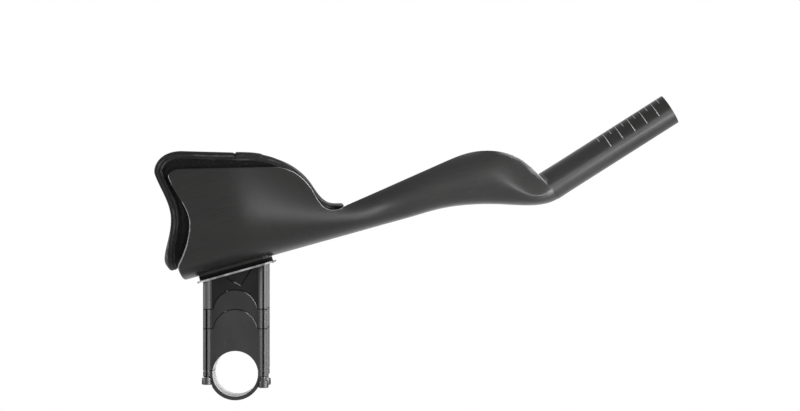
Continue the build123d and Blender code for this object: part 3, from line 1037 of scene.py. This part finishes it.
def smoothPiece(piece, levels):
    piece.data.polygons.foreach_set("use_smooth", [True] * len(piece.data.polygons))
    if levels:
        modifier = piece.modifiers.new("smooth", "SUBSURF")
        modifier.levels = modifier.render_levels = levels


def makePad():
    edges = padEdges()
    mesh, held, caps = makeCover(edges)
    cover = newPiece("forearm_pad_cover", mesh, knit)
    stuff(cover, held, caps)
    smoothPiece(cover, 1)
    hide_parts("forearm_pad")
    print("pad cover:", len(mesh.polygons), "faces")
    return edges


# rolled binding round the pad's edge, with a lap where its ends meet, and stitches along it on each face

rollSizes = {
    "pitch": 0.8,
    "sides": 56,
    "depth": 6.0,
    "over": 0.3,
    "lift": 0.45,
    "squareness": 0.62,
    "ridge": 0.34,
    "ridges": 2.5,
    "lap": (23.0, 40.0),
    "lapEase": (0.6, 2.0),
    "lapGirth": -40.0,
    "lapLift": 0.45,
    "lapRidge": 0.4,  # share of the ridges that is left from the lap onwards
    "ridgeEase": 1.0,
    "notch": (0.9, 0.8, 0.6),  # before the lap: distance, width and depth
    "stitchPitch": 0.0031,
    "stitchSize": (0.0023, 0.0006, 0.0006),
    "stitchFaces": (8, 5),
}


# the whole edge as a closed line of lengths and signed girths, evenly spaced
def edgeLoop(edges, pitch):
    rear, top, front = edges
    side = np.concatenate([front, top[-2::-1], rear[-2:0:-1]])
    loop = np.concatenate([side * (1, -1), rear[:1], side[::-1]])
    count = int(walkedAlong(loop)[-1] / pitch)
    return along(loop, np.linspace(0, 1, count + 1)[:-1])


def inwardOf(loop):
    ahead = unit(np.roll(loop, -1, axis=0) - np.roll(loop, 1, axis=0))
    inward = ahead[:, ::-1] * (-1, 1)
    area = (loop[:, 0] * np.roll(loop[:, 1], -1) - loop[:, 1] * np.roll(loop[:, 0], -1)).sum()
    return inward * np.sign(area)


# how far the lap stands up, and the notch before it goes down, on the near side
def lapHeight(u, girth):
    start, end = rollSizes["lap"]
    rise, fall = rollSizes["lapEase"]
    notchAt, notchWidth, notchDepth = rollSizes["notch"]
    lap = ease(u, start - rise, start) * (1 - ease(u, end - fall, end)) * rollSizes["lapLift"]
    notch = notchDepth * np.exp(-((u - start + notchAt) / notchWidth) ** 2)
    return (lap - notch) * (girth < rollSizes["lapGirth"])


def squared(wave):
    return np.abs(wave) ** rollSizes["squareness"] * np.sign(wave)


def makeBinding(edges):
    loop = edgeLoop(edges, rollSizes["pitch"])
    u, girth = loop.T
    centre = layerPoints(u, girth)
    across = layerNormals(u, girth)
    ahead = unit(np.roll(centre, -1, axis=0) - np.roll(centre, 1, axis=0))
    outward = unit(np.cross(ahead, across))
    inward = inwardOf(loop)
    inside = layerPoints(u + inward[:, 0], girth + inward[:, 1])
    if ((inside - centre) * outward).sum() > 0:
        outward = -outward
    sides = rollSizes["sides"]
    turn = np.linspace(0, 2 * math.pi, sides, endpoint=False)
    shape = squared(np.cos(turn))
    reach = (rollSizes["depth"] + rollSizes["over"]) / 2
    depth = rollSizes["over"] - reach + reach * squared(np.sin(turn))
    rows = np.cos(depth / rollSizes["depth"] * rollSizes["ridges"] * 2 * math.pi)
    lap = lapHeight(u, girth)
    half = padThickness(u) / 2 * padSizes["slack"] + rollSizes["lift"] + lap
    lapStart, least = rollSizes["lap"][0], rollSizes["lapRidge"]
    before = 1 - ease(u, lapStart - rollSizes["ridgeEase"], lapStart + rollSizes["ridgeEase"])
    rings = []
    for k in range(len(u)):
        ridges = rollSizes["ridge"] * rows * (least + (1 - least) * before[k]) * np.abs(shape)
        wide = (half[k] + ridges) * shape
        reachOut = depth + lap[k] * (np.sin(turn) > 0)
        rings.append(centre[k] + wide[:, None] * across[k] + reachOut[:, None] * outward[k])
    vertices = toSeat(np.concatenate(rings))
    faces = []
    places = []
    for k in range(len(u)):
        ring = k * sides
        following = (k + 1) % len(u) * sides
        for s in range(sides):
            beside = (s + 1) % sides
            faces.append([ring + s, ring + beside, following + beside, following + s])
            for count, side in ((k, s), (k, beside), (k + 1, beside), (k + 1, s)):
                places.append((count * rollSizes["pitch"] * mm, depth[side] * mm))
    mesh = bpy.data.meshes.new("pad_binding")
    mesh.from_pydata(vertices.tolist(), [], faces)
    mesh.uv_layers.new(name="UVMap").data.foreach_set("uv", np.array(places).ravel())
    binding = newPiece("pad_binding", mesh, bindingTape)
    faceOutwards(mesh)
    smoothPiece(binding, 0)
    print("binding:", len(faces), "faces")


def faceOutwards(mesh):
    work = bmesh.new()
    work.from_mesh(mesh)
    bmesh.ops.recalc_face_normals(work, faces=work.faces)
    work.to_mesh(mesh)
    work.free()


def stitchTree():
    graph, given = newTree("seam_stitches", {"Pitch": "Float", "Size": "Vector"})
    sockets = {"Curve": given["Geometry"], "Length": given["Pitch"]}
    row = graph.add("GeometryNodeResampleCurve", {"mode": "LENGTH"}, sockets)
    segments, rings = rollSizes["stitchFaces"]
    sockets = {"Segments": segments, "Rings": rings, "Radius": 0.5}
    ball = graph.add("GeometryNodeMeshUVSphere", {}, sockets)
    stitch = graph.add("GeometryNodeTransform", {}, {"Geometry": ball, "Scale": given["Size"]})
    ahead = graph.add("GeometryNodeInputTangent")
    turn = graph.add("FunctionNodeAlignRotationToVector", {"axis": "X"}, {"Vector": ahead})
    return closeTree(graph, graph.onPoints(row, stitch, turn), thread)


def makeStitches(edges):
    loop = edgeLoop(edges, rollSizes["pitch"])
    seam = loop + inwardOf(loop) * padSizes["seam"]
    half = coverHalf(seam[:, 0], np.full(len(seam), padSizes["seam"]))
    curve = bpy.data.curves.new("seam", "CURVE")
    curve.dimensions = "3D"
    for side in (-1, 1):
        points = toSeat(layerPoints(*seam.T) + side * half[:, None] * layerNormals(*seam.T))
        spline = curve.splines.new("POLY")
        spline.points.add(len(points) - 1)
        spline.points.foreach_set("co", np.column_stack([points, np.ones(len(points))]).ravel())
        spline.use_cyclic_u = True
    sizes = {"Pitch": rollSizes["stitchPitch"], "Size": rollSizes["stitchSize"]}
    mesh = treeMesh(stitchTree(), curve, sizes)
    newPiece("pad_stitches", mesh, thread)
    print("stitches:", len(mesh.polygons), "faces")


padLine = makePad()
makeBinding(padLine)
makeStitches(padLine)


# a copy of the moulding with a thin pale line of painted highlight marked along its rounded edge

rimHighlightSizes = {
    "turn": math.radians(12),
    "facet": 1.2e-6,
    "topFrom": 52.0,
    "rearEnd": -25.0,
    "rimStart": (44.0, 56.0),
    "rimEnd": 84.0,
    "low": 6.0,
    "side": 5.0,
    "fall": ((164.0, 30.78), (188.0, 30.8), (213.8, 17.0), (224.9, -1.4), (230.7, -5.0)),
    "fallTurns": (math.radians(8.35), math.radians(16.84)),
    "fallCount": 160,
    "fallStart": (196.0, 204.0),
    "fallEnd": 230.0,
    "reach": (0.9, 2.0),
    "tilt": (0.05, 0.22, 0.90, 0.99),
    "mergeDecimals": 7,
}


# how strongly a facet, at u and w in the seat's frame, shows the painted highlight on the cup's rounded
# edge
def rimHighlightStrength(u, w, turn, area):
    rounded = (turn > rimHighlightSizes["turn"]) & (area < rimHighlightSizes["facet"]) & (w > rimHighlightSizes["low"])
    top = (w > rimHighlightSizes["topFrom"]) & (u > rimHighlightSizes["rearEnd"])
    return rounded * (u < rimHighlightSizes["rimEnd"]) * np.where(top, ease(u, *rimHighlightSizes["rimStart"]), 1.0)


# the same painted highlight for a facet's corner on the hump's falling edge, from how far its surface
# turns sideways
def fallHighlightStrength(u, w, sideways):
    line = smoothLine(rimHighlightSizes["fall"], *rimHighlightSizes["fallTurns"], rimHighlightSizes["fallCount"])
    topStart, topEnd, sideStart, sideEnd = rimHighlightSizes["tilt"]
    strength = ease(sideways, topStart, topEnd) * (1 - ease(sideways, sideStart, sideEnd))
    strength *= ease(u, *rimHighlightSizes["fallStart"]) * (u < rimHighlightSizes["fallEnd"])
    for k in np.flatnonzero(strength):
        strength[k] *= 1 - ease(np.hypot(*(line - (u[k], w[k])).T).min(), *rimHighlightSizes["reach"])
    return strength


# the moulding's facets as one closed mesh, with the normals of the CAD surface at their corners
def mergedCopy(mesh, name):
    points = numbersOf(mesh.vertices, "co", 3).reshape(-1, 3).round(rimHighlightSizes["mergeDecimals"])
    corners = numbersOf(mesh.loops, "vertex_index", kind=int)
    normals = np.array([normal.vector for normal in mesh.corner_normals]).reshape(-1, 3, 3)
    places, owner = np.unique(points, axis=0, return_inverse=True)
    faces = owner.ravel()[corners].reshape(-1, 3)
    whole = (faces != np.roll(faces, 1, axis=1)).all(axis=1)
    merged = bpy.data.meshes.new(name)
    merged.from_pydata(places.tolist(), [], faces[whole].tolist())
    merged.polygons.foreach_set("use_smooth", [True] * len(merged.polygons))
    merged.normals_split_custom_set(normals[whole].reshape(-1, 3).tolist())
    return merged, places[faces[whole]], normals[whole]


def makeShell():
    mesh, corners, normals = mergedCopy(nodes["extension_shell"].data, "shell_skin")
    areas = numbersOf(mesh.polygons, "area")
    turn = np.arccos(np.clip((normals * np.roll(normals, 1, axis=1)).sum(2).min(1), -1, 1))
    u, y, w = fromSeat(corners.mean(axis=1)).T
    rim = np.repeat(rimHighlightStrength(u, w, turn, areas) * (np.abs(y) > rimHighlightSizes["side"]), 3)
    u, y, w = fromSeat(corners.reshape(-1, 3)).T
    strength = np.maximum(rim, fallHighlightStrength(u, w, np.abs(normals[:, :, 1].ravel())))
    # the edge attribute carries the painted highlight to the carbon finish
    mesh.attributes.new("edge", "FLOAT", "CORNER").data.foreach_set("value", strength)
    skin = newPiece("shell_skin", mesh, carbon)
    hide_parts("extension_shell")
    print("shell:", len(corners), "faces,", int((strength > 0).sum()), "corners on its edge")


makeShell()


# studio

studioSizes = {
    "floor": -0.10,
    "floorReach": 8.0,
    "shadowReach": 0.40,
    "whiteReach": 0.80,
    "floorLevel": 0.80,
    "ambient": 0.30,
}
cameraSizes = {"place": (0.11549, -1.7, 0.11794), "lens": 108.2, "sensor": 36.0}
lamps = {
    "front_right": {"place": (0.70, -1.35, 0.04), "size": (0.55, 0.22), "roll": -32.0, "watts": 6.5},
    "high_right": {"place": (0.90, 0.50, 0.90), "size": (0.60, 0.60), "roll": 0.0, "watts": 17.0},
    "right_side": {"place": (1.20, -0.20, 0.30), "size": (0.40, 0.70), "roll": 0.0, "watts": 9.0},
    "left_side": {"place": (-0.75, -0.30, 0.16), "size": (0.20, 0.30), "roll": 0.0, "watts": 5.5},
    "low_right": {"place": (0.55, -0.32, -0.03), "size": (0.35, 0.08), "roll": 0.0, "watts": 2.3},
}
aim = Vector((0.12, 0.0, 0.10))


def backgroundRays(graph):
    kinds = ("Is Camera Ray", "Is Glossy Ray", "Is Transmission Ray")
    rays = [graph.add("ShaderNodeLightPath", output=kind) for kind in kinds]
    return graph.maths("MAXIMUM", graph.maths("MAXIMUM", rays[0], rays[1]), rays[2])


def makeWorld():
    world = bpy.data.worlds.new("studio")
    graph = emptyGraph(world)
    level = backgroundRays(graph) * (1 - studioSizes["ambient"]) + studioSizes["ambient"]
    light = graph.add("ShaderNodeBackground", {}, {"Color": grey(1.0), "Strength": level})
    graph.add("ShaderNodeOutputWorld", {}, {"Surface": light})
    bpy.context.scene.world = world


# matt near the object, where its shadow falls, and white further out
def floorFinish():
    material = bpy.data.materials.new("pale_floor")
    graph = emptyGraph(material)
    places = graph.add("ShaderNodeTexCoord", output="Object")
    middle = (aim.x, aim.y, studioSizes["floor"])
    offset = graph.add("ShaderNodeVectorMath", {"operation": "SUBTRACT"}, {0: places, 1: middle})
    distance = graph.add("ShaderNodeVectorMath", {"operation": "LENGTH"}, {0: offset}, "Value")
    outer = graph.step(distance, studioSizes["shadowReach"], studioSizes["whiteReach"])
    white = outer * backgroundRays(graph)
    matt = graph.add("ShaderNodeBsdfDiffuse", {}, {"Color": grey(studioSizes["floorLevel"])})
    glow = graph.add("ShaderNodeEmission", {}, {"Color": grey(1.0), "Strength": 1.0})
    surface = graph.add("ShaderNodeMixShader", {}, {0: white, 1: matt, 2: glow})
    graph.add("ShaderNodeOutputMaterial", {}, {"Surface": surface})
    return material


def makeFloor():
    reach = studioSizes["floorReach"]
    corners = [(-reach, -reach), (reach, -reach), (reach, reach), (-reach, reach)]
    mesh = bpy.data.meshes.new("floor")
    mesh.from_pydata([(x, y, studioSizes["floor"]) for x, y in corners], [], [(0, 1, 2, 3)])
    mesh.materials.append(floorFinish())
    floor = newObject("floor", mesh)


def makeLamps():
    for name, sizes in lamps.items():
        light = bpy.data.lights.new(name, "AREA")
        light.shape = "RECTANGLE"
        light.size, light.size_y = sizes["size"]
        light.energy = sizes["watts"]
        lamp = newObject(name, light)
        lamp.location = sizes["place"]
        turn = (aim - lamp.location).to_track_quat("-Z", "Y").to_matrix()
        roll = Matrix.Rotation(math.radians(sizes["roll"]), 3, "Z")
        lamp.rotation_euler = (turn @ roll).to_euler()
        lamp.visible_camera = False


def makeCamera():
    data = bpy.data.cameras.new("camera")
    data.lens = cameraSizes["lens"]
    data.sensor_width = cameraSizes["sensor"]
    camera = newObject("camera", data)
    camera.location = cameraSizes["place"]
    camera.rotation_euler = Euler((math.radians(90), 0, 0))
    bpy.context.scene.camera = camera


makeWorld()
makeFloor()
makeLamps()
makeCamera()
bpy.context.scene.view_settings.view_transform = "Standard"
print("studio ready")
